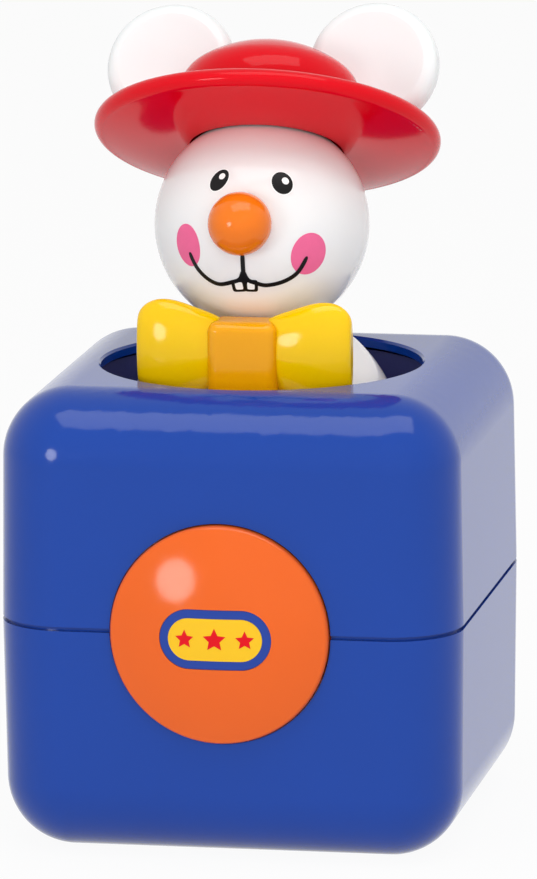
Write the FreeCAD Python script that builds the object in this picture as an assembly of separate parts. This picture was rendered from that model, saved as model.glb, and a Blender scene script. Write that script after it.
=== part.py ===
import FreeCAD, Part
import math
import os
from FreeCAD import Vector

os.makedirs("parts", exist_ok=True)

# Pop up mouse toy in a rounded box. Millimetres, +Z up, front of the toy at -Y.
# Origin at the centre of the underside.

# Box, a lower and an upper moulding that meet half way up
box_half_width = 60.0
lower_height = 60.0
upper_height = 60.0
edge_radius = 18.2
wall = 2.5
draft_angle = 0.7
groove_height = 1.1
tongue_height = 3.0
tongue_outer_inset = 1.4
tongue_inner_inset = 2.4
tongue_gap = 0.15
top_hole_radius = 41.9
top_hole_bevel = 0.6

# Case screws, through the lower posts and the sleeve's ears into the upper posts
post_offset = 37.8
post_radius = 4.2
screw_head_radius = 2.9
screw_head_height = 2.2
screw_shank_radius = 1.4
screw_clearance = 0.3
case_screw_drop = 18.0
case_screw_length = 32.0

# Guide sleeve that the figure slides in
sleeve_inner_radius = 43.9
sleeve_wall = 1.6
sleeve_drop = 29.0
sleeve_top_gap = 1.1
lip_height = 2.5
ear_thickness = 3.0
part_gap = 0.3

# Body of the figure, and how far it slides
travel = 56.9
body_radius = 36.5
body_centre_drop = 22.0
body_bottom_drop = 37.4
body_wall = 2.0
body_top_rise = 5.2
flange_radius = 43.5
stop_flange_drop = 19.0
flange_thickness = 2.2
bow_recess_depth = 1.6

# Button in the front wall
button_radius = 28.3
button_gap = 0.35
button_rise = 1.6
button_dome = 5.8
button_wall = 2.4
button_edge_round = 1.4
button_flange_radius = 31.0
button_flange_thickness = 1.6
badge_length = 29.0
badge_height = 15.6
badge_depth = 1.1
badge_rim_width = 2.3
badge_field_depth = 0.6
button_screw_spacing = 20.0
button_screw_head_radius = 2.2
button_screw_head_height = 1.4
button_screw_shank_radius = 1.0
button_screw_length = 6.0
button_boss_radius = 3.2

# Sliding catch plate on the button
latch_inner_radius = 44.2
latch_outer_radius = 46.8
latch_thickness = 2.5
latch_bite = 2.5
latch_plate_half_width = 22.0
latch_plate_thickness = 2.0
latch_plate_rise = 8.0
latch_plate_corner = 6.0
latch_peg_length = 2.0

# Springs
main_spring_radius = 19.0
main_spring_wire = 1.4
main_spring_turns = 11
cup_height = 8.0
cup_wall = 1.8
button_spring_radius = 3.4
button_spring_wire = 0.7
button_spring_turns = 4
button_spring_spacing = 36.0
spring_pad_rim = 1.6
spring_pad_depth = 7.6

# Head, with the neck under it
head_radius = 27.9
head_wall = 2.2
head_above_body = 30.5
head_setback = 2.0
head_tilt_back = 28.15
head_lean = 1.5
neck_lean = 18.0
neck_radius = 4.4
neck_cap_angle = 46.0
neck_cap_wall = 2.0
neck_clearance = 0.5
collar_radius = 12.0
neck_screw_length = 9.0
neck_boss_drop = 2.2
neck_boss_rise = 2.6
neck_boss_wall = 1.8

# Nose
nose_radius = 8.2
nose_distance = 30.0
nose_drop = 18.9
nose_peg_radius = 3.0

# Hat, measured along its own axis from the centre of the head
brim_radius = 45.2
brim_inner_radius = 20.2
brim_inner_height = 20.0
brim_outer_height = 24.7
brim_lip = 5.0
brim_thickness = 2.2
crown_radius = 23.8
crown_wall_height = 9.9
crown_dome = 14.2
crown_shoulder_round = 9.5
crown_wall = 2.0
hat_peg_radius = 5.0

# Ears
ear_radius = 17.0
ear_half_spacing = 26.9
ear_height = 43.8
ear_setback = 2.0
ear_disc = 9.0
ear_dish = 1.6

# Bow tie
bow_half_length = 28.0
bow_knot_width = 18.0
bow_knot_height = 18.2
bow_knot_depth = 12.5
bow_depth = 10.0
bow_height = 26.0
bow_pinch_height = 17.0
bow_above_body = 1.4
bow_knot_lowering = 0.7
bow_stem_drop = 8.0
bow_stem_radius = 3.0
bow_knot_round = 3.6
bow_front_offset = 23.0
bow_recess_margin = 1.0
bow_screw_length = 7.5
spring_shelf_thickness = 2.0
spring_shelf_bite = 3.0

# Heights that follow from the box
top_height = lower_height + upper_height
case_screw_seat = lower_height - case_screw_drop
sleeve_bottom = lower_height - sleeve_drop
latch_plate_top = lower_height + latch_plate_rise
body_centre_height = top_height - body_centre_drop
body_bottom = top_height - body_bottom_drop
body_top = top_height + body_top_rise
stop_flange_height = top_height - stop_flange_drop
head_height = body_top + head_above_body
bow_centre_height = body_top + bow_above_body

X_AXIS = Vector(1, 0, 0)
Y_AXIS = Vector(0, 1, 0)
Z_AXIS = Vector(0, 0, 1)
ORIGIN = Vector(0, 0, 0)


# Small helpers
def cylinder(radius, length, base, axis=Z_AXIS):
    return Part.makeCylinder(radius, length, base, axis)


def block(low, high):
    size = high - low
    return Part.makeBox(size.x, size.y, size.z, low)


def tube(outer, inner, low, high):
    return cylinder(outer, high - low, Vector(0, 0, low)).cut(cylinder(inner, high - low, Vector(0, 0, low)))


def outward(solid):
    """The same solid with its faces pointing out."""
    return solid if solid.Volume > 0 else solid.reversed()


def revolved(edges):
    return outward(Part.Face(Part.Wire(edges)).revolve(ORIGIN, Z_AXIS, 360))


def line(a, b):
    return Part.LineSegment(Vector(a[0], 0, a[1]), Vector(b[0], 0, b[1])).toShape()


def arc(a, middle, b):
    points = [Vector(p[0], 0, p[1]) for p in (a, middle, b)]
    return Part.Arc(*points).toShape()


def on_circle(radius, height, angle):
    turn = math.radians(angle)
    return (radius * math.cos(turn), height + radius * math.sin(turn))


def corners(offset):
    return [(sx * offset, sy * offset) for sx in (-1, 1) for sy in (-1, 1)]


# Half of the box: a drafted block with all its outer edges round
def half_block(half_width, height, radius):
    shrink = height * math.tan(math.radians(draft_angle))
    wires = []
    for half, z in ((half_width, 0.0), (half_width - shrink, height)):
        ring = [Vector(-half, -half, z), Vector(half, -half, z), Vector(half, half, z), Vector(-half, half, z)]
        wires.append(Part.makePolygon(ring + ring[:1]))
    solid = Part.makeLoft(wires, True, True)
    outer_edges = [e for e in solid.Edges if e.BoundBox.ZMax > height / 2]
    return solid.makeFillet(radius, outer_edges)


def hollow_half(height):
    """One half of the box, from the groove at the parting line up to its face."""
    inside = half_block(box_half_width - wall, height - wall, edge_radius - wall)
    shell = half_block(box_half_width, height, edge_radius).cut(inside)
    span = 2 * box_half_width
    shell = shell.common(block(Vector(-span, -span, groove_height / 2), Vector(span, span, height)))
    return shell


def rounded_square(half, radius, low, high):
    solid = block(Vector(-half, -half, low), Vector(half, half, high))
    upright = [e for e in solid.Edges if e.BoundBox.ZLength > (high - low) / 2]
    return solid.makeFillet(radius, upright)


def wall_ring(inset_outer, inset_inner, low, high):
    """A band that runs round inside the box's wall."""
    outer = rounded_square(box_half_width - inset_outer, edge_radius - inset_outer, low, high)
    return outer.cut(rounded_square(box_half_width - inset_inner, edge_radius - inset_inner, low, high))


# Box
ear_low = lower_height - ear_thickness / 2
ear_high = lower_height + ear_thickness / 2
tongue_top = lower_height + tongue_height
latch_low = sleeve_bottom - part_gap - latch_thickness
ledge_top = latch_low - part_gap
ledge_start = latch_outer_radius - 2.0
ledge_half_width = 14.0
cup_inner_radius = main_spring_radius + main_spring_wire / 2 + part_gap


def button_hole():
    base = Vector(0, -box_half_width - edge_radius, lower_height)
    return cylinder(button_radius + button_gap, edge_radius + 3 * wall, base, Y_AXIS)


def lower_shell():
    shell = hollow_half(lower_height)
    shell.rotate(ORIGIN, X_AXIS, 180)
    shell.translate(Vector(0, 0, lower_height))
    space = half_block(box_half_width - 0.5 * wall, lower_height - 0.5 * wall, edge_radius - 0.5 * wall)
    space.rotate(ORIGIN, X_AXIS, 180)
    space.translate(Vector(0, 0, lower_height))
    cup = tube(cup_inner_radius + cup_wall, cup_inner_radius, 0, wall + cup_height)
    inner_pieces = [cylinder(post_radius, ear_low, Vector(x, y, 0)) for x, y in corners(post_offset)]
    for side in (-1, 1):
        ends = sorted((side * ledge_start, side * box_half_width))
        ledge = block(Vector(ends[0], -ledge_half_width, 0), Vector(ends[1], ledge_half_width, ledge_top))
        inner_pieces.append(ledge)
    inner_pieces.append(cup)
    tongue = wall_ring(tongue_outer_inset, tongue_inner_inset, lower_height - tongue_height, tongue_top)
    shell = shell.fuse([piece.common(space) for piece in inner_pieces] + [tongue])
    for x, y in corners(post_offset):
        shell = shell.cut(cylinder(screw_head_radius + screw_clearance, case_screw_seat, Vector(x, y, 0)))
        shell = shell.cut(cylinder(screw_shank_radius + screw_clearance, top_height, Vector(x, y, 0)))
    return shell.cut(button_hole())


def upper_shell():
    shell = hollow_half(upper_height)
    shell.translate(Vector(0, 0, lower_height))
    space = half_block(box_half_width - 0.5 * wall, upper_height - 0.5 * wall, edge_radius - 0.5 * wall)
    space.translate(Vector(0, 0, lower_height))
    posts = [cylinder(post_radius, top_height, Vector(x, y, ear_high)) for x, y in corners(post_offset)]
    shell = shell.cut(wall_ring(tongue_outer_inset - tongue_gap, wall + 1, 0, tongue_top))
    shell = shell.fuse([post.common(space) for post in posts])
    for x, y in corners(post_offset):
        shell = shell.cut(cylinder(screw_shank_radius, case_screw_length, Vector(x, y, case_screw_seat)))
    shell = shell.cut(cylinder(top_hole_radius, 2 * wall, Vector(0, 0, top_height - wall - 1)))
    bevel = 2 * top_hole_bevel
    bevel_low = Vector(0, 0, top_height - top_hole_bevel)
    shell = shell.cut(Part.makeCone(top_hole_radius, top_hole_radius + bevel, bevel, bevel_low))
    return shell.cut(button_hole())


def screw(head_radius, head_height, shank_radius, length):
    """A pan head screw that points up, with the top of its head at zero."""
    head = cylinder(head_radius, head_height, ORIGIN)
    head = head.makeFillet(0.4 * head_height, [e for e in head.Edges if e.BoundBox.ZMax < 0.01])
    shank = cylinder(shank_radius, length, Vector(0, 0, head_height))
    slot = 0.22 * head_radius
    cross = block(Vector(-0.6 * head_radius, -slot, 0), Vector(0.6 * head_radius, slot, 0.5 * head_height))
    turned = cross.copy()
    turned.rotate(ORIGIN, Z_AXIS, 90)
    return head.fuse(shank).cut(cross).cut(turned).removeSplitter()


def case_screws():
    one = screw(screw_head_radius, screw_head_height, screw_shank_radius, case_screw_length - screw_head_height)
    group = []
    for x, y in corners(post_offset):
        copy = one.copy()
        copy.translate(Vector(x, y, case_screw_seat - screw_head_height))
        group.append(copy)
    return Part.makeCompound(group)


# Guide sleeve, clamped by its ears between the posts
sleeve_outer_radius = sleeve_inner_radius + sleeve_wall
sleeve_top = top_height - wall - sleeve_top_gap
lip_bottom = stop_flange_height + flange_thickness + part_gap
spring_seat = -(sleeve_outer_radius + 0.7)


def guide_sleeve():
    sleeve = tube(sleeve_outer_radius, sleeve_inner_radius, sleeve_bottom, sleeve_top)
    sleeve = sleeve.fuse(tube(sleeve_outer_radius, top_hole_radius, lip_bottom, lip_bottom + lip_height))
    reach = post_offset * math.sqrt(2)
    for turn in (45, 135, 225, 315):
        ear = block(Vector(sleeve_inner_radius + 0.5, -post_radius, ear_low), Vector(reach, post_radius, ear_high))
        ear = ear.fuse(cylinder(post_radius, ear_thickness, Vector(reach, 0, ear_low)))
        ear = ear.cut(cylinder(screw_shank_radius + screw_clearance, top_height, Vector(reach, 0, 0)))
        ear.rotate(ORIGIN, Z_AXIS, turn)
        sleeve = sleeve.fuse(ear)
    for side in (-1, 1):
        pad_radius = button_spring_radius + spring_pad_rim
        base = Vector(side * button_spring_spacing / 2, spring_seat, lower_height)
        pad = cylinder(pad_radius, spring_pad_depth, base, Y_AXIS)
        sleeve = sleeve.fuse(pad.cut(cylinder(sleeve_inner_radius + 0.4, top_height, ORIGIN)))
    return sleeve.removeSplitter()


# Button, modelled facing up with the front of its skirt at zero, then turned to the front
button_front = -(box_half_width + button_rise)
dome_radius = (button_radius ** 2 + button_dome ** 2) / (2 * button_dome)
flange_room = part_gap + button_flange_radius * math.tan(math.radians(draft_angle))
skirt_depth = button_rise + wall + flange_room
plate_face = -(box_half_width - wall - flange_room - button_flange_thickness)


def stadium(length, height, depth):
    """A race-track prism along Z, centred on the axis."""
    end = height / 2
    straight = length / 2 - end
    middle = block(Vector(-straight, -end, 0), Vector(straight, end, depth))
    ends = [cylinder(end, depth, Vector(side * straight, 0, 0)) for side in (-1, 1)]
    return middle.fuse(ends).removeSplitter()


def dome_ball(offset):
    return Part.makeSphere(dome_radius + offset, Vector(0, 0, button_dome - dome_radius))


def placed_on_button(shape):
    shape.rotate(ORIGIN, X_AXIS, 90)
    shape.translate(Vector(0, button_front, lower_height))
    return shape


def button_cap():
    skirt = cylinder(button_radius, skirt_depth + button_dome, Vector(0, 0, -skirt_depth))
    cap = skirt.common(dome_ball(0))
    rim = [e for e in cap.Edges if abs(e.BoundBox.ZMin) < 0.01 and abs(e.BoundBox.ZMax) < 0.01]
    cap = cap.makeFillet(button_edge_round, rim)
    hollow = cylinder(button_radius - button_wall, skirt_depth + button_dome, Vector(0, 0, -skirt_depth - 1))
    cap = cap.cut(hollow.common(dome_ball(-button_wall)))
    flange_low = -skirt_depth - button_flange_thickness
    ring_inner = button_radius - button_wall
    cap = cap.fuse(tube(button_flange_radius, ring_inner, flange_low, -skirt_depth))
    for side in (-1, 1):
        base = Vector(side * button_screw_spacing / 2, 0, flange_low)
        boss = cylinder(button_boss_radius, button_dome - flange_low, base)
        cap = cap.fuse(boss.common(dome_ball(-0.5 * button_wall)))
    recess = stadium(badge_length, badge_height, 4 * button_dome).cut(dome_ball(-badge_depth))
    cap = cap.cut(recess)
    for side in (-1, 1):
        base = Vector(side * button_screw_spacing / 2, 0, flange_low)
        cap = cap.cut(cylinder(button_screw_shank_radius, button_screw_length - 1, base))
    return placed_on_button(cap.removeSplitter())


def badge_rim():
    rim = stadium(badge_length - 0.2, badge_height - 0.2, 4 * button_dome).common(dome_ball(-0.2))
    rim = rim.cut(dome_ball(-badge_depth))
    inside = stadium(badge_length - 2 * badge_rim_width, badge_height - 2 * badge_rim_width, 4 * button_dome)
    return placed_on_button(rim.cut(inside.cut(dome_ball(-badge_field_depth))))


def badge_field():
    length = badge_length - 2 * badge_rim_width - 0.1
    field = stadium(length, length - badge_length + badge_height, 4 * button_dome)
    return placed_on_button(field.common(dome_ball(-0.1)).cut(dome_ball(-badge_field_depth)))


def latch_ring():
    """Catch plate: a ring round the figure, set forward so that its back edge hooks over the figure's foot."""
    shift = -(latch_inner_radius - flange_radius + latch_bite)
    ring = tube(latch_outer_radius, latch_inner_radius, latch_low, latch_low + latch_thickness)
    ring.translate(Vector(0, shift, 0))
    bridge = block(
        Vector(-latch_plate_half_width, plate_face, latch_low),
        Vector(latch_plate_half_width, shift - 0.9 * latch_inner_radius, latch_low + latch_thickness),
    )
    opening = cylinder(latch_inner_radius, top_height, Vector(0, shift, 0))
    ring = ring.fuse(bridge.cut(opening))
    plate = block(
        Vector(-latch_plate_half_width, plate_face, latch_low),
        Vector(latch_plate_half_width, plate_face + latch_plate_thickness, latch_plate_top),
    )
    top_edges = [e for e in plate.Edges if e.BoundBox.ZMin > latch_plate_top - 0.1 and e.BoundBox.XLength < 0.1]
    ring = ring.fuse(plate.makeFillet(latch_plate_corner, top_edges))
    for side in (-1, 1):
        x = side * button_spring_spacing / 2
        base = Vector(x, plate_face + latch_plate_thickness, lower_height)
        ring = ring.fuse(cylinder(button_spring_radius - 1.2, latch_peg_length, base, Y_AXIS))
        hole = Vector(side * button_screw_spacing / 2, plate_face - 1, lower_height)
        ring = ring.cut(cylinder(button_screw_shank_radius + 0.2, 3 * latch_plate_thickness, hole, Y_AXIS))
    return ring.removeSplitter()


def button_screws():
    one = screw(button_screw_head_radius, button_screw_head_height, button_screw_shank_radius, button_screw_length)
    one.rotate(ORIGIN, X_AXIS, 90)
    group = []
    for side in (-1, 1):
        copy = one.copy()
        y = plate_face + latch_plate_thickness + button_screw_head_height
        copy.translate(Vector(side * button_screw_spacing / 2, y, lower_height))
        group.append(copy)
    return Part.makeCompound(group)


# Springs: one tube swept along a helix of arcs
def biarc(start, start_dir, end, end_dir):
    """Two arcs that join smoothly between two points with given directions."""
    chord = end - start
    total = start_dir + end_dir
    a = 2 * (1 - start_dir.dot(end_dir))
    b = 2 * chord.dot(total)
    reach = (math.sqrt(b * b + 4 * a * chord.dot(chord)) - b) / (2 * a)
    first = start + start_dir * reach
    second = end - end_dir * reach
    joint = (first + second) * 0.5
    pieces = []
    for a_point, corner, b_point in ((start, first, joint), (joint, second, end)):
        middle = (a_point + b_point) * 0.5
        cosine = (b_point - a_point).normalize().dot((corner - a_point).normalize())
        top = middle + (corner - middle) * (cosine / (1 + cosine))
        pieces.append(Part.Arc(a_point, top, b_point).toShape())
    return pieces


def coil(radius, wire, turns, low, high):
    """A compression spring along Z between two heights."""
    bottom = low + wire / 2
    pitch = (high - low - wire) / turns
    steps = int(turns * 2)

    def point(step):
        angle = math.pi * step
        return Vector(radius * math.cos(angle), radius * math.sin(angle), bottom + pitch * step / 2)

    def direction(step):
        angle = math.pi * step
        slope = Vector(-radius * math.sin(angle), radius * math.cos(angle), pitch / (2 * math.pi))
        return slope.normalize()

    edges = []
    for step in range(steps):
        edges += biarc(point(step), direction(step), point(step + 1), direction(step + 1))
    section = Part.Wire(Part.makeCircle(wire / 2, point(0), direction(0)))
    return Part.Wire(edges).makePipeShell([section], True, False)


spring_top = bow_centre_height - bow_height / 2 - bow_recess_margin - body_wall - spring_shelf_thickness


def main_spring():
    return coil(main_spring_radius, main_spring_wire, main_spring_turns, wall, spring_top)


def button_spring(side):
    start = plate_face + latch_plate_thickness
    spring = coil(button_spring_radius, button_spring_wire, button_spring_turns, 0, spring_seat - start)
    spring.rotate(ORIGIN, X_AXIS, -90)
    spring.translate(Vector(side * button_spring_spacing / 2, start, lower_height))
    return spring


# Figure's body
neck_down = Vector(0, math.sin(math.radians(neck_lean)), -math.cos(math.radians(neck_lean)))
head_centre = Vector(0, head_setback, head_height)
neck_foot = head_centre + neck_down * ((head_height - body_top + body_wall) / math.cos(math.radians(neck_lean)))
recess_face = -(bow_front_offset - bow_depth / 2 - bow_recess_depth)


def body_profile(radius, low, top):
    """Half section of the domed body: straight skirt, then a dome cut flat at its top."""
    flat = math.sqrt(radius ** 2 - (top - body_centre_height) ** 2)
    angle = math.degrees(math.atan2(top - body_centre_height, flat))
    return revolved([
        line((0, low), (radius, low)),
        line((radius, low), (radius, body_centre_height)),
        arc((radius, body_centre_height), on_circle(radius, body_centre_height, angle / 2), (flat, top)),
        line((flat, top), (0, top)),
        line((0, top), (0, low)),
    ])


def bow_recess():
    reach = bow_half_length + 1
    low = Vector(-reach, -2 * body_radius, bow_centre_height - bow_height / 2 - bow_recess_margin)
    return block(low, Vector(reach, recess_face, top_height + body_radius))


def body_shell():
    outer = body_profile(body_radius, body_bottom, body_top)
    seat = cylinder(collar_radius, head_radius, neck_foot - neck_down * 2.0, neck_down * -1)
    outer = outer.fuse(seat.cut(Part.makeSphere(head_radius + 0.4, head_centre)))
    outer = outer.cut(bow_recess())
    inner = body_profile(body_radius - body_wall, body_bottom - 1, body_top - body_wall)
    keep = block(
        Vector(-body_radius, recess_face + body_wall, body_bottom - 1),
        Vector(body_radius, body_radius, body_top),
    )
    low_part = block(
        Vector(-body_radius, -body_radius, body_bottom - 1),
        Vector(body_radius, body_radius, bow_centre_height - bow_height / 2 - bow_recess_margin - body_wall),
    )
    body = outer.cut(inner.common(keep.fuse(low_part)))
    for low in (body_bottom, stop_flange_height):
        body = body.fuse(tube(flange_radius, body_radius - 0.5, low, low + flange_thickness))
    shelf_hole = main_spring_radius - spring_shelf_bite
    shelf_top = spring_top + spring_shelf_thickness
    body = body.fuse(tube(body_radius - 0.5 * body_wall, shelf_hole, spring_top, shelf_top))
    bow_hole = Vector(0, recess_face - 1, bow_centre_height - bow_stem_drop)
    body = body.cut(cylinder(screw_shank_radius + 0.2, body_wall + 2, bow_hole, Y_AXIS))
    hole = cylinder(neck_radius + 0.05, head_radius, neck_foot - neck_down * head_radius, neck_down)
    body = body.cut(hole)
    boss = cylinder(
        neck_radius + neck_boss_wall, neck_boss_rise + neck_boss_drop, neck_foot - neck_down * neck_boss_rise, neck_down
    )
    body = body.fuse(boss.common(body_profile(body_radius, body_bottom, body_top)))
    way_top = neck_foot - neck_down * neck_screw_length
    way = cylinder(screw_shank_radius + 0.2, 2 * neck_screw_length, way_top, neck_down)
    return body.cut(way).removeSplitter()


def neck_post():
    """Leaning stem with a domed cap that holds the head from inside."""
    cap_outer = head_radius - head_wall - neck_clearance
    cap = Part.makeSphere(cap_outer, head_centre).cut(Part.makeSphere(cap_outer - neck_cap_wall, head_centre))
    mouth = cap_outer * math.tan(math.radians(neck_cap_angle))
    cone = Part.makeCone(0, mouth, cap_outer, head_centre, neck_down)
    stem_top = head_centre + neck_down * (cap_outer - neck_cap_wall)
    stem_length = (neck_foot - stem_top).Length - neck_boss_rise + 1
    stem = cylinder(neck_radius, stem_length, stem_top - neck_down, neck_down)
    post = cap.common(cone).fuse(stem)
    hole = cylinder(screw_shank_radius, neck_screw_length, neck_foot - neck_down * neck_screw_length, neck_down)
    return post.cut(hole).removeSplitter()


def neck_screw():
    one = screw(screw_head_radius, screw_head_height, screw_shank_radius, neck_screw_length)
    one.rotate(ORIGIN, X_AXIS, neck_lean)
    one.translate(neck_foot + neck_down * (screw_head_height + neck_boss_drop))
    return one


# Head, made along its own axis with the face at -Y, then leaned back into its resting pose
def on_head(shape):
    shape.rotate(ORIGIN, X_AXIS, -head_tilt_back)
    shape.rotate(ORIGIN, Y_AXIS, -head_lean)
    shape.translate(head_centre)
    return shape


head_axis = Vector(
    -math.sin(math.radians(head_lean)) * math.cos(math.radians(head_tilt_back)),
    math.sin(math.radians(head_tilt_back)),
    math.cos(math.radians(head_lean)) * math.cos(math.radians(head_tilt_back)),
)
tilt_axis = head_axis.cross(Z_AXIS).normalize()
tilt_angle = math.degrees(math.acos(head_axis.z))


def neck_slot():
    """Room in the head for the neck as the head tilts, in the resting pose, as solids to cut away."""
    half = neck_radius + neck_clearance
    near = head_radius - 3 * head_wall
    far = head_radius + head_wall
    side = tilt_axis * half
    points = [neck_down * near - side, neck_down * far - side, neck_down * far + side, neck_down * near + side]
    face = Part.Face(Part.makePolygon([head_centre + p for p in points + points[:1]]))
    slot = outward(face.revolve(head_centre, tilt_axis * -1, tilt_angle))
    ends = []
    for turn in (0, -tilt_angle):
        end = cylinder(half, far - near, head_centre + neck_down * near, neck_down)
        end.rotate(head_centre, tilt_axis, turn)
        ends.append(end)
    return [slot] + ends


def nose_place(distance):
    drop = math.radians(nose_drop)
    return Vector(0, -distance * math.cos(drop), -distance * math.sin(drop))


def head_half(side):
    ball = Part.makeSphere(head_radius).cut(Part.makeSphere(head_radius - head_wall))
    reach = head_radius + 1
    half = block(Vector(-reach, min(0, side * reach), -reach), Vector(reach, max(0, side * reach), reach))
    shell = ball.common(half)
    if side < 0:
        shell = shell.cut(cylinder(nose_peg_radius + 0.05, nose_distance, ORIGIN, nose_place(1)))
        shell = shell.cut(Part.makeSphere(nose_radius + 0.05, nose_place(nose_distance)))
    shell = shell.cut(cylinder(hat_peg_radius + 0.05, head_radius + 2, ORIGIN))
    shell = on_head(shell)
    for room in neck_slot():
        shell = shell.cut(room)
    return shell


def nose():
    ball = Part.makeSphere(nose_radius, nose_place(nose_distance))
    peg_start = head_radius - head_wall - 1.5
    peg = cylinder(nose_peg_radius, nose_distance - peg_start, nose_place(peg_start), nose_place(1))
    return on_head(ball.fuse(peg).removeSplitter())


# Hat
lip_radius = brim_lip / 2
lip_centre = (brim_radius - lip_radius, brim_outer_height)
crown_base = brim_outer_height
crown_top = crown_base + crown_wall_height + crown_dome


def brim_shape():
    """Turned-up brim with a rolled lip, its opening round the top of the head."""
    inner = (brim_inner_radius, brim_inner_height)
    rise = (lip_centre[0] - brim_inner_radius) * 0.5
    low_mid = (brim_inner_radius + rise, (brim_inner_height + lip_centre[1] - lip_radius) / 2 - 0.9)
    lip_low = (lip_centre[0], lip_centre[1] - lip_radius)
    lip_top = (lip_centre[0] - 0.6 * lip_radius, lip_centre[1] + 0.8 * lip_radius)
    top_mid = (low_mid[0], low_mid[1] + brim_thickness + 0.6)
    top_inner = (brim_inner_radius, brim_inner_height + brim_thickness)
    profile = revolved([
        arc(inner, low_mid, lip_low),
        arc(lip_low, (brim_radius, lip_centre[1]), lip_top),
        arc(lip_top, top_mid, top_inner),
        line(top_inner, inner),
    ])
    return profile.cut(Part.makeSphere(head_radius + 0.02))


def hat_brim():
    return on_head(brim_shape())


def crown_profile(inset, base):
    """The crown: a straight wall, a round shoulder and a flatter dome that run on smoothly."""
    radius = crown_radius - inset
    shoulder = crown_base + crown_wall_height
    top = shoulder + crown_dome - inset
    small = crown_shoulder_round - inset
    run = radius - small
    large = (run ** 2 + (top - shoulder) ** 2 - small ** 2) / (2 * (top - shoulder - small))
    joint = math.degrees(math.atan2(shoulder - top + large, run))
    meeting = on_circle(large, top - large, joint)
    across, up = on_circle(small, shoulder, joint / 2)
    return revolved([
        line((0, base), (radius, base)),
        line((radius, base), (radius, shoulder)),
        arc((radius, shoulder), (run + across, up), meeting),
        arc(meeting, on_circle(large, top - large, (joint + 90) / 2), (0, top)),
        line((0, top), (0, base)),
    ])


def hat_crown():
    crown = crown_profile(0, brim_inner_height).cut(Part.makeSphere(head_radius + 0.02))
    inner = crown_profile(crown_wall, brim_inner_height - 1)
    crown = crown.cut(inner)
    crown = crown.cut(brim_space())
    peg_low = head_radius - head_wall
    peg_high = crown_top - crown_wall + 0.5
    peg = cylinder(hat_peg_radius, peg_high - peg_low, Vector(0, 0, peg_low))
    return on_head(crown.fuse(peg))


def brim_space():
    """The room that the brim takes under the crown."""
    face_height = brim_inner_height + brim_thickness + 0.9
    return cylinder(brim_radius, face_height, ORIGIN)


def ear(side):
    """A thick round disc with a dished front, standing on the brim against the crown."""
    disc = cylinder(ear_radius, ear_disc, Vector(0, 0, -ear_disc / 2))
    disc = disc.makeFillet(0.4 * ear_disc, disc.Edges[0:1] + disc.Edges[2:3])
    bowl = (ear_radius * 0.8) ** 2 / (2 * ear_dish)
    disc = disc.cut(Part.makeSphere(bowl, Vector(0, 0, ear_disc / 2 + bowl - ear_dish)))
    disc.rotate(ORIGIN, X_AXIS, 90)
    disc.translate(Vector(side * ear_half_spacing, ear_setback, ear_height))
    disc = disc.cut(crown_profile(-0.02, 0)).cut(brim_shape())
    largest = max(disc.Solids, key=lambda solid: solid.Volume)
    return on_head(largest)


# Bow tie, made facing up, then turned to the front
bow_centre = Vector(0, -bow_front_offset, bow_centre_height)


def on_bow(shape):
    shape.rotate(ORIGIN, X_AXIS, 90)
    shape.translate(bow_centre)
    return shape


def oval_wire(x, height, depth):
    """An oval cross section of the bow at a distance from its middle."""
    oval = Part.Wire(Part.Ellipse(ORIGIN, height / 2, depth / 2).toShape())
    oval.rotate(ORIGIN, Z_AXIS, 90)
    oval.rotate(ORIGIN, Y_AXIS, 90)
    oval.translate(Vector(x, 0, 0))
    return oval


# Swelling of a loop from the knot to its tip: share of length, of height and of depth
bow_swell = (
    (0, 0.66, 0.66),
    (0.3, 0.86, 0.95),
    (0.6, 1.0, 1.0),
    (0.82, 0.97, 0.85),
    (0.95, 0.82, 0.62),
    (1.0, 0.6, 0.35),
)


def bow_loop(side):
    start = bow_knot_width / 2 - 2.5
    span = bow_half_length - start
    sections = []
    for share, height_share, depth_share in bow_swell:
        sections.append(oval_wire(start + share * span, height_share * bow_height, depth_share * bow_depth))
    loop = Part.makeLoft(sections, True, False)
    if side < 0:
        loop = loop.mirror(ORIGIN, X_AXIS)
    return on_bow(loop.cut(knot_block(0.02)))


def knot_block(gap):
    half_width = bow_knot_width / 2 + gap
    half_height = bow_knot_height / 2 + gap
    half_depth = bow_knot_depth / 2 + gap
    knot = block(Vector(-half_width, -half_height, -half_depth), Vector(half_width, half_height, half_depth))
    knot = knot.makeFillet(bow_knot_round, knot.Edges)
    knot.translate(Vector(0, -bow_knot_lowering, 0))
    return knot


def bow_knot():
    knot = on_bow(knot_block(0))
    stem_start = -bow_front_offset
    stem_height = bow_centre_height - bow_stem_drop
    stem = cylinder(bow_stem_radius, recess_face - stem_start, Vector(0, stem_start, stem_height), Y_AXIS)
    knot = knot.fuse(stem).removeSplitter()
    reach = bow_screw_length - body_wall
    pilot = cylinder(screw_shank_radius, reach + 1, Vector(0, recess_face - reach, stem_height), Y_AXIS)
    return knot.cut(pilot)


def bow_screw():
    one = screw(screw_head_radius, screw_head_height, screw_shank_radius, bow_screw_length)
    one.rotate(ORIGIN, X_AXIS, 90)
    one.translate(Vector(0, recess_face + body_wall + screw_head_height, bow_centre_height - bow_stem_drop))
    return one


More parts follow.
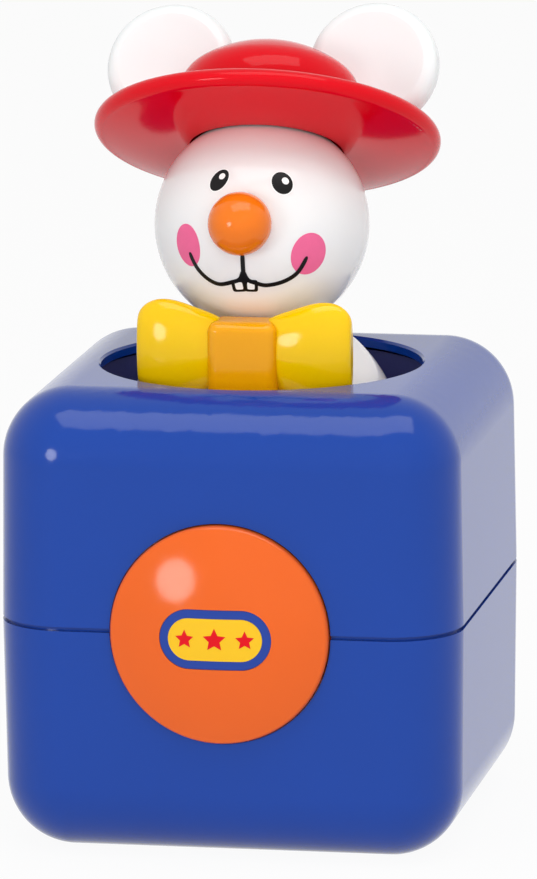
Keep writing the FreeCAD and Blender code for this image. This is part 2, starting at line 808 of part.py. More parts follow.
pieces = {
    "lower_shell": lower_shell(),
    "upper_shell": upper_shell(),
    "case_screws": case_screws(),
    "guide_sleeve": guide_sleeve(),
    "button_cap": button_cap(),
    "badge_rim": badge_rim(),
    "badge_field": badge_field(),
    "latch_ring": latch_ring(),
    "button_screws": button_screws(),
    "button_spring_left": button_spring(-1),
    "button_spring_right": button_spring(1),
    "main_spring": main_spring(),
    "body_shell": body_shell(),
    "neck_post": neck_post(),
    "neck_screw": neck_screw(),
    "bow_left_loop": bow_loop(-1),
    "bow_right_loop": bow_loop(1),
    "bow_knot": bow_knot(),
    "bow_screw": bow_screw(),
    "head_front": head_half(-1),
    "head_back": head_half(1),
    "nose": nose(),
    "hat_brim": hat_brim(),
    "hat_crown": hat_crown(),
    "ear_left": ear(-1),
    "ear_right": ear(1),
}
for name, shape in pieces.items():
    if not shape.isValid():
        print("not valid:", name)
    print(name, "solids", len(shape.Solids), "volume", round(shape.Volume))
    shape.exportStep("parts/" + name + ".step")
print("tilt axis", tilt_axis, "tilt angle", round(tilt_angle, 3))
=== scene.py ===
import math

import bmesh
import bpy
from bpy.props import FloatProperty, FloatVectorProperty, PointerProperty
from bpy.types import Operator, Panel, PropertyGroup
from mathutils import Matrix, Vector


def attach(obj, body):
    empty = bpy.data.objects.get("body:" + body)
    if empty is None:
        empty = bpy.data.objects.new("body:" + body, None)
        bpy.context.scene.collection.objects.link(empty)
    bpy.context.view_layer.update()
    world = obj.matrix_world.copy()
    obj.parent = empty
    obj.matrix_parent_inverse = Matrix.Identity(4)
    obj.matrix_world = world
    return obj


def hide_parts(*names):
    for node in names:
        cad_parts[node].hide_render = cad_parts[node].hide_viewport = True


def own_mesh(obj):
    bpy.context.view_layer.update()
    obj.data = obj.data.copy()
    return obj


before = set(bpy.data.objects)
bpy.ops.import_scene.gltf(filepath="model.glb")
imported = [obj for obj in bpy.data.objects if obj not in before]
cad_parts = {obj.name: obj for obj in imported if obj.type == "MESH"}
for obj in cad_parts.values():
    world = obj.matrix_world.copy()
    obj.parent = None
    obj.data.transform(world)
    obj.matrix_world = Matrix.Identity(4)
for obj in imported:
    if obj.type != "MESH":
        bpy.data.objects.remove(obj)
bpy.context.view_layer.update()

bl_info = {
    "name": "Pop up mouse toy",
    "version": (1, 0, 0),
    "blender": (4, 5, 0),
    "location": "View3D > Sidebar > Pop up toy",
    "description": "Dresses the frame of a pop up mouse in a blue box with a push button",
    "category": "Object",
}

# The head's resting pose in the frame, in metres and degrees
HEAD_CENTRE = Vector((0.0, 0.002, 0.1557))
HEAD_RADIUS = 0.0279
HEAD_POSE = (
    Matrix.Translation(HEAD_CENTRE)
    @ Matrix.Rotation(math.radians(-1.5), 4, "Y")
    @ Matrix.Rotation(math.radians(-28.15), 4, "X")
)

# The button's dome, whose front is the badge's ground
BUTTON_FRONT = -0.0616
BUTTON_HEIGHT = 0.060
DOME_RISE = 0.0058
DOME_RADIUS = 0.07194

# The badge's stars: metres, and shares of a star's radius
STAR_SPACING = 0.0078
OUTER_STAR_SHARE = 0.82
STAR_WAIST = 0.48
STAR_INSET = 0.12
STAR_DEPTH = 0.0004
STAR_BELOW_DOME = 0.00006

# The prints: where their closed edge ends, as a share of the head's radius, and how finely they are divided
PRINT_FOOT = 0.985
OVAL_RINGS = 5
OVAL_RING_WIDTH = 0.17
LINE_STEPS_PER_SPAN = 14
LINE_END_STEPS = 6
LINE_END_BLUNTNESS = 0.96
LINE_LOOK_AHEAD = 0.01

# The bow's knot, in metres
KNOT_SIZE = (0.018, 0.0125, 0.0212)
KNOT_ROUND = 0.0028
KNOT_PLACE = (0, -0.023, 0.1243)
KNOT_STEM_RADIUS = 0.003
KNOT_STEM_LENGTH = 0.007
KNOT_STEM_PLACE = (0, -0.0199, 0.1186)


def linear(code):
    """The linear RGBA of an sRGB hex colour."""
    parts = [int(code[i : i + 2], 16) / 255 for i in (1, 3, 5)]
    return tuple(p / 12.92 if p <= 0.04045 else ((p + 0.055) / 1.055) ** 2.4 for p in parts) + (1.0,)


def colour(name, code, description):
    return FloatVectorProperty(
        name=name, description=description, default=linear(code)[:3], subtype="COLOR", size=3, min=0, max=1
    )


def length(name, value, description):
    return FloatProperty(name=name, description=description, default=value, unit="LENGTH", min=0, precision=5)


def power(name, value, description):
    return FloatProperty(name=name, description=description, default=value, unit="POWER")


class ToyColours(PropertyGroup):
    """Colours of the moulded plastics and of the inks."""

    box: colour("Box", "#0A3F9E", "Blue of the two halves of the box")
    button: colour("Button", "#EC6418", "Orange of the push button")
    badge_rim: colour("Badge rim", "#1B3F9C", "Blue of the badge's raised border")
    badge_field: colour("Badge field", "#FBC417", "Yellow of the badge's middle")
    hat: colour("Hat", "#E00016", "Red of the brim and the crown")
    head: colour("Head", "#F3F1F0", "White of the head and the body")
    ear: colour("Ear", "#F3F5F5", "White of the ears")
    nose: colour("Nose", "#F27A12", "Orange of the nose")
    bow: colour("Bow", "#FFCC00", "Yellow of the bow's loops")
    knot: colour("Knot", "#F9AB02", "Yellow of the bow's knot")
    cheek: colour("Cheek", "#F06A98", "Pink ink of the cheeks")
    ink: colour("Line ink", "#0E0C0D", "Black ink of the eyes and the mouth")


class PrintSizes(PropertyGroup):
    """Sizes of the printed face and of the badge's stars."""

    relief: length("Ink thickness", 0.00005, "How far the ink stands off the head")
    line: length("Line width", 0.00110, "Width of the mouth's line")
    star: length("Star radius", 0.0031, "Radius of the badge's middle star")


class StageSettings(PropertyGroup):
    """Strengths of the lights."""

    key: power("Overhead softbox", 7.5, "Power of the overhead softbox")
    spot: power("Left lamp", 3.0, "Power of the round lamp at the left")
    side: power("Right softbox", 2.4, "Power of the right softbox")
    fill: power("Front fill", 6.6, "Power of the wide fill at the camera")
    sky: FloatProperty(name="Room light", description="Strength of the room's even light", default=0.34)


# Materials
SCUFF_MM = 1.2
SCUFF_DULLING = 0.09
BUMP_HEIGHT = 0.0002


def add_node(tree, kind, settings=None, values=None, links=None):
    """A node with its settings, its sockets' values and its incoming links."""
    node = tree.nodes.new(kind)
    for name, value in (settings or {}).items():
        setattr(node, name, value)
    for socket, value in (values or {}).items():
        node.inputs[socket].default_value = value
    for socket, source in (links or {}).items():
        tree.links.new(source, node.inputs[socket])
    return node


def new_material(name):
    material = bpy.data.materials.new(name)
    material.use_nodes = True
    material.node_tree.nodes.clear()
    return material, material.node_tree


def shade(tree, place, base, swing, drift_mm, gloss, ripple_mm, ripple, values):
    """A faintly waving surface whose colour drifts a little and whose gloss is broken by fine scuffs."""
    pale = [min(1.0, c * (1 + swing)) for c in base[:3]] + [1.0]
    deep = [c * (1 - swing) for c in base[:3]] + [1.0]
    drift = add_node(
        tree,
        "ShaderNodeTexNoise",
        values={"Scale": 1000 / drift_mm, "Detail": 2.0},
        links={"Vector": place},
    )
    tint = add_node(
        tree,
        "ShaderNodeMix",
        {"data_type": "RGBA"},
        {6: deep, 7: pale},
        {0: drift.outputs["Fac"]},
    )
    scuff = add_node(
        tree,
        "ShaderNodeTexNoise",
        values={"Scale": 1000 / SCUFF_MM, "Detail": 4.0, "Roughness": 0.7},
        links={"Vector": place},
    )
    dull = add_node(
        tree,
        "ShaderNodeMapRange",
        values={"From Min": 0.35, "From Max": 0.75, "To Min": gloss, "To Max": gloss + SCUFF_DULLING},
        links={"Value": scuff.outputs["Fac"]},
    )
    wave = add_node(
        tree,
        "ShaderNodeTexNoise",
        values={"Scale": 1000 / ripple_mm, "Detail": 1.0},
        links={"Vector": place},
    )
    bump = add_node(
        tree,
        "ShaderNodeBump",
        values={"Strength": ripple, "Distance": BUMP_HEIGHT},
        links={"Height": wave.outputs["Fac"]},
    )
    surface = add_node(
        tree,
        "ShaderNodeBsdfPrincipled",
        values=values,
        links={
            "Base Color": tint.outputs[2],
            "Roughness": dull.outputs["Result"],
            "Normal": bump.outputs["Normal"],
        },
    )
    add_node(tree, "ShaderNodeOutputMaterial", links={"Surface": surface.outputs["BSDF"]})


def glossy_abs(name, base, glow=0.0, gloss=0.08, shine=0.3):
    """Injection moulded ABS from a polished mould: deep gloss, faint flow drift and hairline scuffs."""
    material, tree = new_material(name)
    place = add_node(tree, "ShaderNodeTexCoord").outputs["Object"]
    values = {
        "IOR": 1.5,
        "Specular IOR Level": shine,
        "Subsurface Weight": glow,
        "Subsurface Radius": (1.0, 0.8, 0.7),
        "Subsurface Scale": 0.003,
    }
    shade(tree, place, tuple(base), 0.035, 30.0, gloss, 14.0, 0.012, values)
    return material


def satin_abs(name, base, gloss=0.4):
    """Injection moulded ABS from an etched mould: soft sheen over a fine grain."""
    material, tree = new_material(name)
    place = add_node(tree, "ShaderNodeTexCoord").outputs["Object"]
    shade(tree, place, tuple(base), 0.06, 12.0, gloss, 0.7, 0.15, {"IOR": 1.53})
    return material


def pad_ink(name, base):
    """Pad printed ink: an even, satin film."""
    material, tree = new_material(name)
    place = add_node(tree, "ShaderNodeTexCoord").outputs["Object"]
    values = {"IOR": 1.4, "Specular IOR Level": 0.3}
    shade(tree, place, tuple(base), 0.05, 2.5, 0.28, 0.5, 0.05, values)
    return material


def drawn_steel(name, base):
    """Drawn and plated steel wire: bright metal with a fine, even grain."""
    material, tree = new_material(name)
    place = add_node(tree, "ShaderNodeTexCoord").outputs["Object"]
    shade(tree, place, tuple(base), 0.12, 0.8, 0.25, 0.4, 0.1, {"Metallic": 1.0})
    return material


# Meshes
def as_piece(shape, name, material, body, slot, *nodes):
    """An object from a shape, on its body, and instead of the CAD nodes if any are named. The slot is not
    used.
    """
    mesh = bpy.data.meshes.new(name)
    shape.to_mesh(mesh)
    shape.free()
    piece = bpy.data.objects.new(name, mesh)
    bpy.context.scene.collection.objects.link(piece)
    mesh.materials.append(material)
    flats = piece.modifiers.new("flat faces stay flat", "WEIGHTED_NORMAL")
    flats.keep_sharp = True
    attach(piece, body)
    if nodes:
        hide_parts(*nodes)
    return piece


def smooth(shape, angle=28.0):
    """Shades a shape smooth, with a sharp line where its faces turn more than the angle."""
    for face in shape.faces:
        face.smooth = True
    for edge in shape.edges:
        if len(edge.link_faces) == 2 and edge.calc_face_angle(0) > math.radians(angle):
            edge.smooth = False


def merged_copy(node, name, material, body, slot):
    """The CAD node as one welded skin with smooth shading."""
    shape = bmesh.new()
    shape.from_mesh(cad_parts[node].data)
    bmesh.ops.remove_doubles(shape, verts=shape.verts, dist=1e-6)
    smooth(shape)
    return as_piece(shape, name, material, body, slot, node)


def repaint(node, material):
    """Gives a carried over CAD node its material."""
    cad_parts[node].data.materials.clear()
    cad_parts[node].data.materials.append(material)


def on_ball(longitude, latitude, across=0.0, up=0.0, radius=HEAD_RADIUS):
    """A point on the head by its place on the face, in degrees, and an offset along the skin, in metres."""
    turn = math.radians(longitude)
    lift = math.radians(latitude)
    outward = Vector((math.sin(turn) * math.cos(lift), -math.cos(turn) * math.cos(lift), math.sin(lift)))
    right = Vector((math.cos(turn), math.sin(turn), 0.0))
    top = right.cross(outward) * -1
    return (outward * HEAD_RADIUS + right * across + top * up).normalized() * radius


def close_print(shape):
    """Gives a print on the head a closed edge that goes into the skin."""
    made = bmesh.ops.extrude_face_region(shape, geom=shape.faces[:])
    sunk = [item for item in made["geom"] if isinstance(item, bmesh.types.BMVert)]
    bmesh.ops.scale(shape, vec=(PRINT_FOOT, PRINT_FOOT, PRINT_FOOT), verts=sunk)
    bmesh.ops.recalc_face_normals(shape, faces=shape.faces)
    bmesh.ops.transform(shape, matrix=HEAD_POSE, verts=shape.verts)
    smooth(shape, 50)


def printed_oval(longitude, latitude, half_width, half_height, lean=0.0, relief=0.00005, square=2.0):
    """A patch of ink that follows the head: an oval, or a rounded block where square is above 2."""
    shape = bmesh.new()
    bmesh.ops.create_circle(shape, cap_ends=True, segments=48, radius=1.0)
    for ring in range(OVAL_RINGS):
        middle = max(shape.faces, key=lambda face: len(face.verts))
        bmesh.ops.inset_individual(shape, faces=[middle], thickness=OVAL_RING_WIDTH)
    turn = math.radians(lean)
    for vert in shape.verts:
        reach = vert.co.length
        if square > 2 and reach > 1e-6:
            x, y = abs(vert.co.x) / reach, abs(vert.co.y) / reach
            reach /= (x**square + y**square) ** (1 / square)
            vert.co = vert.co.normalized() * reach
        across = vert.co.x * half_width
        up = vert.co.y * half_height
        vert.co = on_ball(
            longitude,
            latitude,
            across * math.cos(turn) + up * math.sin(turn),
            up * math.cos(turn) - across * math.sin(turn),
            HEAD_RADIUS + relief,
        )
    close_print(shape)
    return shape


def along(points, share):
    """A point on the smooth line through the points, from 0 at the first to 1 at the last."""
    spot = share * (len(points) - 1)
    step = min(int(spot), len(points) - 2)
    t = spot - step
    ends = [points[max(0, min(len(points) - 1, step + k))] for k in (-1, 0, 1, 2)]
    before, a, b, after = [Vector(p) for p in ends]
    bend = 2 * before - 5 * a + 4 * b - after
    swing = 3 * a - before - 3 * b + after
    return 0.5 * ((2 * a) + (b - before) * t + bend * t**2 + swing * t**3)


def printed_line(points, width, relief):
    """A stroke of ink along points on the face, with round ends."""
    steps = LINE_STEPS_PER_SPAN * (len(points) - 1)
    shape = bmesh.new()
    bmesh.ops.create_grid(shape, x_segments=steps, y_segments=2, size=1.0)
    for vert in shape.verts:
        share = (vert.co.x + 1) / 2
        here = on_ball(*along(points, share))
        ahead = on_ball(*along(points, min(1.0, share + LINE_LOOK_AHEAD)))
        behind = on_ball(*along(points, max(0.0, share - LINE_LOOK_AHEAD)))
        side = (ahead - behind).cross(here).normalized()
        end = min(share, 1 - share) * steps / LINE_END_STEPS
        half = 0.5 * width * math.sqrt(1 - max(0.0, 1 - end) ** 2 * LINE_END_BLUNTNESS)
        vert.co = (here + side * vert.co.y * half).normalized() * (HEAD_RADIUS + relief)
    close_print(shape)
    return shape


def palette():
    return bpy.context.scene.toy_colours


def finish_named(name, kind, *values):
    """The material of that name, made once."""
    return bpy.data.materials.get(name) or kind(name, *values)


def white_abs():
    return finish_named("white_abs_polished", glossy_abs, palette().head, 0.15)


def steel():
    return finish_named("plated_steel_drawn", drawn_steel, linear("#B4B6B8")[:3])


# Pieces
class MakeBox(Operator):
    """Lower and upper half of the blue box, and the screws that hold them"""

    bl_idname = "toy.box"
    bl_label = "Box"

    def execute(self, context):
        blue = finish_named("blue_abs_polished", glossy_abs, palette().box)
        merged_copy("lower_shell", "box_lower_half", blue, "box", "box_blue")
        merged_copy("upper_shell", "box_upper_half", blue, "box", "box_blue")
        repaint("case_screws", steel())
        return {"FINISHED"}


class MakeMechanism(Operator):
    """Guide sleeve, catch plate and springs inside the box"""

    bl_idname = "toy.mechanism"
    bl_label = "Mechanism"

    def execute(self, context):
        # The sleeve's dark navy is painted shade: it darkens the inside of the box below the hole.
        shade_darkened_navy = finish_named("navy_abs_etched", satin_abs, linear("#343B78")[:3])
        merged_copy("guide_sleeve", "sleeve", shade_darkened_navy, "box", "sleeve_black")
        cream = finish_named("cream_acetal_etched", satin_abs, linear("#E6E1D5")[:3])
        merged_copy("latch_ring", "catch_plate", cream, "button", "latch_white")
        spring = merged_copy("main_spring", "lifting_spring", steel(), "box", "spring_steel")
        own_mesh(spring)
        for side in ("left", "right"):
            name = "button_spring_" + side
            spring = merged_copy(name, "return_spring_" + side, steel(), "box", "spring_steel")
            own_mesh(spring)
        repaint("button_screws", steel())
        return {"FINISHED"}


class MakeButton(Operator):
    """Push button with its badge of three stars"""

    bl_idname = "toy.button"
    bl_label = "Button"

    def execute(self, context):
        orange = finish_named("orange_abs_polished", glossy_abs, palette().button, 0.05)
        merged_copy("button_cap", "push_button", orange, "button", "button_orange")
        rim = finish_named("blue_badge_abs_polished", glossy_abs, palette().badge_rim)
        merged_copy("badge_rim", "badge_border", rim, "button", "badge_blue")
        field = finish_named("yellow_badge_abs_polished", glossy_abs, palette().badge_field, 0.1)
        merged_copy("badge_field", "badge_ground", field, "button", "badge_yellow")
        red = finish_named("red_pad_ink", pad_ink, palette().hat)
        size = context.scene.toy_prints.star
        stars = (
            ("left", -STAR_SPACING, OUTER_STAR_SHARE),
            ("middle", 0.0, 1.0),
            ("right", STAR_SPACING, OUTER_STAR_SHARE),
        )
        for name, place, share in stars:
            as_piece(star(place, size * share), "badge_star_" + name, red, "button", "badge_yellow")
        return {"FINISHED"}


def star(place, radius):
    """A five pointed star that follows the button's dome."""
    shape = bmesh.new()
    bmesh.ops.create_circle(shape, cap_ends=True, segments=10, radius=radius)
    for index, vert in enumerate(sorted(shape.verts, key=lambda v: math.atan2(v.co.y, v.co.x))):
        vert.co *= 1.0 if index % 2 else STAR_WAIST
    tip = max(shape.verts, key=lambda v: v.co.length)
    turn = math.radians(90) - math.atan2(tip.co.y, tip.co.x)
    bmesh.ops.rotate(shape, matrix=Matrix.Rotation(turn, 3, "Z"), verts=shape.verts)
    bmesh.ops.inset_individual(shape, faces=shape.faces[:], thickness=STAR_INSET * radius)
    made = bmesh.ops.extrude_face_region(shape, geom=shape.faces[:])
    sunk = [item for item in made["geom"] if isinstance(item, bmesh.types.BMVert)]
    bmesh.ops.translate(shape, vec=(0, 0, -STAR_DEPTH), verts=sunk)
    for vert in shape.verts:
        across, up, depth = vert.co.x + place, vert.co.y, vert.co.z
        ball = DOME_RADIUS - STAR_BELOW_DOME + depth
        rise = math.sqrt(ball**2 - across**2 - up**2) - DOME_RADIUS + DOME_RISE
        vert.co = (across, BUTTON_FRONT - rise, BUTTON_HEIGHT + up)
    bmesh.ops.recalc_face_normals(shape, faces=shape.faces)
    return shape


class MakeBody(Operator):
    """White body of the figure, its neck and the screws in it"""

    bl_idname = "toy.body"
    bl_label = "Body"

    def execute(self, context):
        merged_copy("body_shell", "body", white_abs(), "figure", "figure_white")
        merged_copy("neck_post", "neck", white_abs(), "figure", "figure_white")
        repaint("neck_screw", steel())
        repaint("bow_screw", steel())
        return {"FINISHED"}


class MakeBow(Operator):
    """Two loops of the bow tie and its knot"""

    bl_idname = "toy.bow"
    bl_label = "Bow tie"

    def execute(self, context):
        yellow = finish_named("yellow_abs_polished", glossy_abs, palette().bow, 0.25)
        amber = finish_named("amber_abs_polished", glossy_abs, palette().knot, 0.25)
        merged_copy("bow_left_loop", "bow_loop_left", yellow, "figure", "bow_yellow")
        merged_copy("bow_right_loop", "bow_loop_right", yellow, "figure", "bow_yellow")
        as_piece(knot(), "bow_knot_block", amber, "figure", "knot_yellow", "bow_knot")
        return {"FINISHED"}


def knot():
    """A tall block with round edges, on the stem that goes into the body."""
    shape = bmesh.new()
    bmesh.ops.create_cube(shape, size=1.0)
    bmesh.ops.scale(shape, vec=KNOT_SIZE, verts=shape.verts)
    bmesh.ops.bevel(
        shape, geom=shape.edges[:], offset=KNOT_ROUND, segments=6, affect="EDGES", profile=0.5, material=-1
    )
    bmesh.ops.translate(shape, vec=KNOT_PLACE, verts=shape.verts)
    stem = bmesh.ops.create_cone(
        shape,
        cap_ends=True,
        segments=48,
        radius1=KNOT_STEM_RADIUS,
        radius2=KNOT_STEM_RADIUS,
        depth=KNOT_STEM_LENGTH,
    )
    turn = Matrix.Rotation(math.radians(90), 3, "X")
    bmesh.ops.rotate(shape, matrix=turn, verts=stem["verts"])
    bmesh.ops.translate(shape, vec=KNOT_STEM_PLACE, verts=stem["verts"])
    smooth(shape, 40)
    return shape


class MakeHead(Operator):
    """Two halves of the head and the nose"""

    bl_idname = "toy.head"
    bl_label = "Head"

    def execute(self, context):
        merged_copy("head_front", "face_shell", white_abs(), "head", "figure_white")
        merged_copy("head_back", "nape_shell", white_abs(), "head", "figure_white")
        orange = finish_named("nose_abs_polished", glossy_abs, palette().nose, 0.15)
        merged_copy("nose", "nose_ball", orange, "head", "nose_orange")
        return {"FINISHED"}


class MakeFace(Operator):
    """Printed eyes, cheeks, mouth and teeth"""

    bl_idname = "toy.face"
    bl_label = "Printed face"

    def execute(self, context):
        black = finish_named("black_pad_ink", pad_ink, palette().ink)
        pink = finish_named("pink_pad_ink", pad_ink, palette().cheek)
        white = finish_named("white_pad_ink", pad_ink, linear("#FBFAF8")[:3])
        sizes = context.scene.toy_prints
        film = sizes.relief
        ovals = [
            ("cheek_left", pink, -37.3, -26.9, 0.0041, 0.0057, 10, 1),
            ("cheek_right", pink, 43.1, -30.9, 0.0050, 0.0057, -5, 1),
            ("eye_edge_left", white, -13.1, 5.3, 0.0025, 0.0035, 33, 1),
            ("eye_edge_right", white, 21.0, 4.3, 0.0030, 0.0034, -25, 1),
            ("eye_left", black, -13.1, 5.3, 0.0022, 0.0032, 33, 2),
            ("eye_right", black, 21.0, 4.3, 0.0027, 0.0031, -25, 2),
            ("eye_glint_left", white, -11.6, 7.3, 0.0008, 0.0009, 40, 3),
            ("eye_glint_right", white, 22.6, 5.6, 0.0009, 0.0010, -40, 3),
        ]
        for name, ink, longitude, latitude, half_width, half_height, lean, layer in ovals:
            shape = printed_oval(longitude, latitude, half_width, half_height, lean, film * layer)
            as_piece(shape, "print_" + name, ink, "head", "figure_white")
        blocks = [
            ("tooth_line_left", black, -5.9, -53.7, 0.00185, 0.00185, 2),
            ("tooth_line_right", black, 5.3, -53.7, 0.00175, 0.00185, 2),
            ("tooth_left", white, -5.6, -53.6, 0.00100, 0.00112, 3),
            ("tooth_right", white, 5.2, -53.6, 0.00095, 0.00112, 3),
        ]
        for name, ink, longitude, latitude, half_width, half_height, layer in blocks:
            shape = printed_oval(longitude, latitude, half_width, half_height, 0.0, film * layer, 6.0)
            as_piece(shape, "print_" + name, ink, "head", "figure_white")
        left = [(-0.4, -44.5), (-3.5, -49.2), (-10.1, -50.9), (-22.6, -51.5)]
        left += [(-31.0, -47.6), (-36.1, -40.1), (-37.1, -30.6)]
        right = [(-0.4, -44.5), (2.6, -49.6), (8.5, -51.5), (18.7, -52.6)]
        right += [(31.2, -49.2), (39.6, -42.6), (42.3, -32.2)]
        lines = [
            ("lip_line", [(0.1, -35.0), (-0.1, -42.0), (-0.4, -50.5)]),
            ("smile_left", left),
            ("smile_right", right),
        ]
        for name, points in lines:
            shape = printed_line(points, sizes.line, film * 4)
            as_piece(shape, "print_" + name, black, "head", "figure_white")
        return {"FINISHED"}


class MakeHat(Operator):
    """Brim with its rolled lip, and the crown"""

    bl_idname = "toy.hat"
    bl_label = "Hat"

    def execute(self, context):
        red = finish_named("red_abs_polished", glossy_abs, palette().hat, 0.0, 0.07, 0.16)
        merged_copy("hat_brim", "brim", red, "head", "hat_red")
        merged_copy("hat_crown", "crown", red, "head", "hat_red")
        return {"FINISHED"}


class MakeEars(Operator):
    """Two round ears"""

    bl_idname = "toy.ears"
    bl_label = "Ears"

    def execute(self, context):
        pearl = finish_named("pearl_abs_polished", glossy_abs, palette().ear, 0.1, 0.16)
        merged_copy("ear_left", "ear_disc_left", pearl, "head", "ear_white")
        merged_copy("ear_right", "ear_disc_right", pearl, "head", "ear_white")
        return {"FINISHED"}


# Stage
AZIMUTH = math.radians(10.866)
ELEVATION = math.radians(10.995)
ROLL = math.radians(-0.505)
TARGET = Vector((0.0, 0.0, 0.060))
CAMERA_DISTANCE = 2.148
CAMERA_ASIDE = 0.001227
CAMERA_ABOVE = 0.038272
FOCAL_PIXELS = 8218
PHOTO_HEIGHT = 879
SENSOR_HEIGHT = 36.0
LAMP_AIM = Vector((0, 0, 0.11))
LAMP_DISTANCE = 1.25
FLOOR_HALF = 6.0
FLOOR_WHITE = 0.94

# Each light's name and setting, its way from the toy along the camera's right, up and backward, its width
# and height, whether it is round, and whether reflections show it
LIGHTS = (
    ("overhead_softbox", "key", (0.05, 0.88, 0.42), (1.3, 0.7), False, True),
    ("left_lamp", "spot", (-0.61, -0.01, 0.79), (0.36, 0.36), True, True),
    ("front_fill", "fill", (0.1, 0.1, 1.0), (1.2, 1.2), False, False),
    ("right_softbox", "side", (0.85, 0.35, 0.1), (0.35, 0.9), False, False),
)


def camera_axes():
    """Right, up and backward of the camera."""
    back = Vector(
        (
            math.sin(AZIMUTH) * math.cos(ELEVATION),
            -math.cos(AZIMUTH) * math.cos(ELEVATION),
            math.sin(ELEVATION),
        )
    )
    level = Vector((math.cos(AZIMUTH), math.sin(AZIMUTH), 0.0))
    above = back.cross(level)
    right = math.cos(ROLL) * level + math.sin(ROLL) * above
    up = -math.sin(ROLL) * level + math.cos(ROLL) * above
    return right, up, back


def softbox(name, strength, way, size, is_round, mirrored):
    """An area light that looks at the toy, its place given along the camera's axes."""
    right, up, back = camera_axes()
    light = bpy.data.lights.new(name, "AREA")
    light.shape = "ELLIPSE" if is_round else "RECTANGLE"
    light.size, light.size_y = size
    light.energy = strength
    lamp = bpy.data.objects.new(name, light)
    lamp.visible_glossy = mirrored
    bpy.context.scene.collection.objects.link(lamp)
    away = (right * way[0] + up * way[1] + back * way[2]).normalized()
    place = LAMP_AIM + away * LAMP_DISTANCE
    lamp.matrix_world = Matrix.Translation(place) @ away.to_track_quat("Z", "Y").to_matrix().to_4x4()


def greater(tree, first, second):
    """The greater of two values."""
    node = add_node(tree, "ShaderNodeMath", {"operation": "MAXIMUM"}, links={0: first, 1: second})
    return node.outputs[0]


def seen_white(tree):
    """1 where the camera, a reflection or a ray through glass meets the background, and 0 for its light."""
    rays = add_node(tree, "ShaderNodeLightPath")
    shiny = greater(tree, rays.outputs["Is Glossy Ray"], rays.outputs["Is Transmission Ray"])
    return greater(tree, rays.outputs["Is Camera Ray"], shiny)


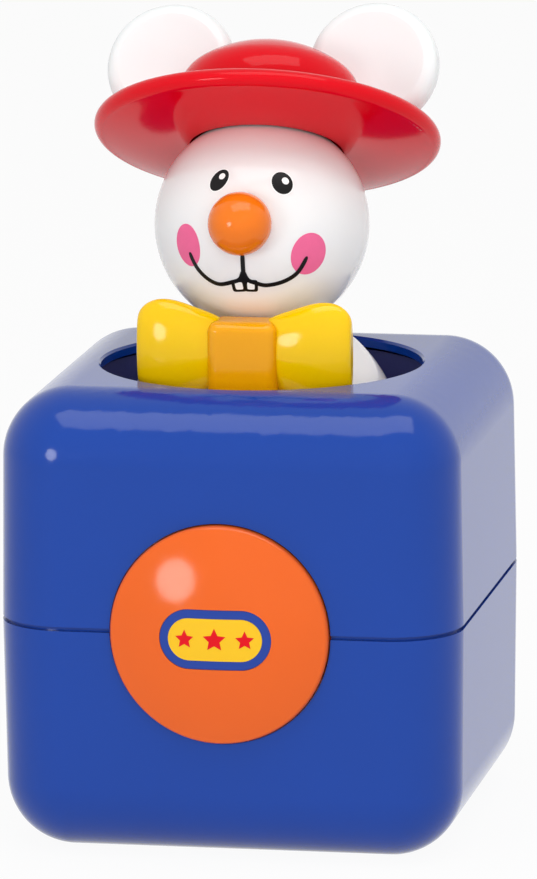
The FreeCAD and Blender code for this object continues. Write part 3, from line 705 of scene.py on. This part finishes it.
class MakeStage(Operator):
    """Floor, room light, softboxes and camera"""

    bl_idname = "toy.stage"
    bl_label = "Stage"

    def execute(self, context):
        scene = context.scene
        settings = scene.toy_stage
        shape = bmesh.new()
        bmesh.ops.create_grid(shape, x_segments=8, y_segments=8, size=FLOOR_HALF)
        mesh = bpy.data.meshes.new("floor")
        shape.to_mesh(mesh)
        shape.free()
        floor = bpy.data.objects.new("floor", mesh)
        scene.collection.objects.link(floor)
        mesh.materials.append(self.floor_paint())
        self.room(scene, settings.sky)
        for name, setting, way, size, is_round, mirrored in LIGHTS:
            softbox(name, getattr(settings, setting), way, size, is_round, mirrored)
        self.camera(scene)
        return {"FINISHED"}

    def floor_paint(self):
        """Matt white card: white to the camera and in reflections, but for a part of the toy's shadow."""
        material, tree = new_material("white_card_matt")
        place = add_node(tree, "ShaderNodeTexCoord").outputs["Object"]
        fibre = add_node(
            tree,
            "ShaderNodeTexNoise",
            values={"Scale": 900.0, "Detail": 2.0},
            links={"Vector": place},
        )
        tone = add_node(
            tree,
            "ShaderNodeMix",
            {"data_type": "RGBA"},
            {6: linear("#DCDCDE"), 7: linear("#E6E6E6")},
            {0: fibre.outputs["Fac"]},
        )
        card = add_node(
            tree, "ShaderNodeBsdfPrincipled", values={"Roughness": 0.7}, links={"Base Color": tone.outputs[2]}
        )
        white = add_node(tree, "ShaderNodeEmission", values={"Color": (1, 1, 1, 1), "Strength": 1.0})
        share = add_node(
            tree,
            "ShaderNodeMath",
            {"operation": "MULTIPLY"},
            {1: FLOOR_WHITE},
            {0: seen_white(tree)},
        )
        mix = add_node(
            tree,
            "ShaderNodeMixShader",
            links={0: share.outputs[0], 1: card.outputs["BSDF"], 2: white.outputs["Emission"]},
        )
        add_node(tree, "ShaderNodeOutputMaterial", links={"Surface": mix.outputs[0]})
        return material

    def room(self, scene, strength):
        """Even room: white to the camera and in reflections, dim as light."""
        world = bpy.data.worlds.new("white_room")
        world.use_nodes = True
        tree = world.node_tree
        tree.nodes.clear()
        level = add_node(
            tree,
            "ShaderNodeMapRange",
            values={"To Min": strength, "To Max": 1.0},
            links={"Value": seen_white(tree)},
        )
        light = add_node(
            tree,
            "ShaderNodeBackground",
            values={"Color": (1, 1, 1, 1)},
            links={"Strength": level.outputs["Result"]},
        )
        add_node(tree, "ShaderNodeOutputWorld", links={"Surface": light.outputs[0]})
        scene.world = world

    def camera(self, scene):
        right, up, back = camera_axes()
        lens = bpy.data.cameras.new("camera")
        lens.sensor_fit = "VERTICAL"
        lens.sensor_height = SENSOR_HEIGHT
        lens.lens = FOCAL_PIXELS * SENSOR_HEIGHT / PHOTO_HEIGHT
        lens.clip_start = 0.1
        lens.clip_end = 50.0
        camera = bpy.data.objects.new("camera", lens)
        scene.collection.objects.link(camera)
        place = TARGET + back * CAMERA_DISTANCE + right * CAMERA_ASIDE + up * CAMERA_ABOVE
        turn = Matrix((right, up, back)).transposed().to_4x4()
        camera.matrix_world = Matrix.Translation(place) @ turn
        scene.camera = camera


PIECES = (
    MakeBox,
    MakeMechanism,
    MakeButton,
    MakeBody,
    MakeBow,
    MakeHead,
    MakeFace,
    MakeHat,
    MakeEars,
    MakeStage,
)


class ToyPanel(Panel):
    """Lists the steps and the settings of the toy"""

    bl_idname = "VIEW3D_PT_pop_up_toy"
    bl_label = "Pop up toy"
    bl_space_type = "VIEW_3D"
    bl_region_type = "UI"
    bl_category = "Pop up toy"

    def draw(self, context):
        for group in (context.scene.toy_colours, context.scene.toy_prints, context.scene.toy_stage):
            for name in group.bl_rna.properties.keys():
                if name not in ("name", "rna_type"):
                    self.layout.prop(group, name)
        for piece in PIECES:
            self.layout.operator(piece.bl_idname)


CLASSES = (ToyColours, PrintSizes, StageSettings) + PIECES + (ToyPanel,)


def register():
    for item in CLASSES:
        bpy.utils.register_class(item)
    bpy.types.Scene.toy_colours = PointerProperty(type=ToyColours)
    bpy.types.Scene.toy_prints = PointerProperty(type=PrintSizes)
    bpy.types.Scene.toy_stage = PointerProperty(type=StageSettings)


def unregister():
    del bpy.types.Scene.toy_colours
    del bpy.types.Scene.toy_prints
    del bpy.types.Scene.toy_stage
    for item in reversed(CLASSES):
        bpy.utils.unregister_class(item)


def main():
    register()
    bpy.ops.toy.box()
    bpy.ops.toy.mechanism()
    bpy.ops.toy.button()
    bpy.ops.toy.body()
    bpy.ops.toy.bow()
    bpy.ops.toy.head()
    bpy.ops.toy.face()
    bpy.ops.toy.hat()
    bpy.ops.toy.ears()
    bpy.ops.toy.stage()
    bpy.context.scene.view_settings.view_transform = "Standard"


if __name__ == "__main__":
    main()
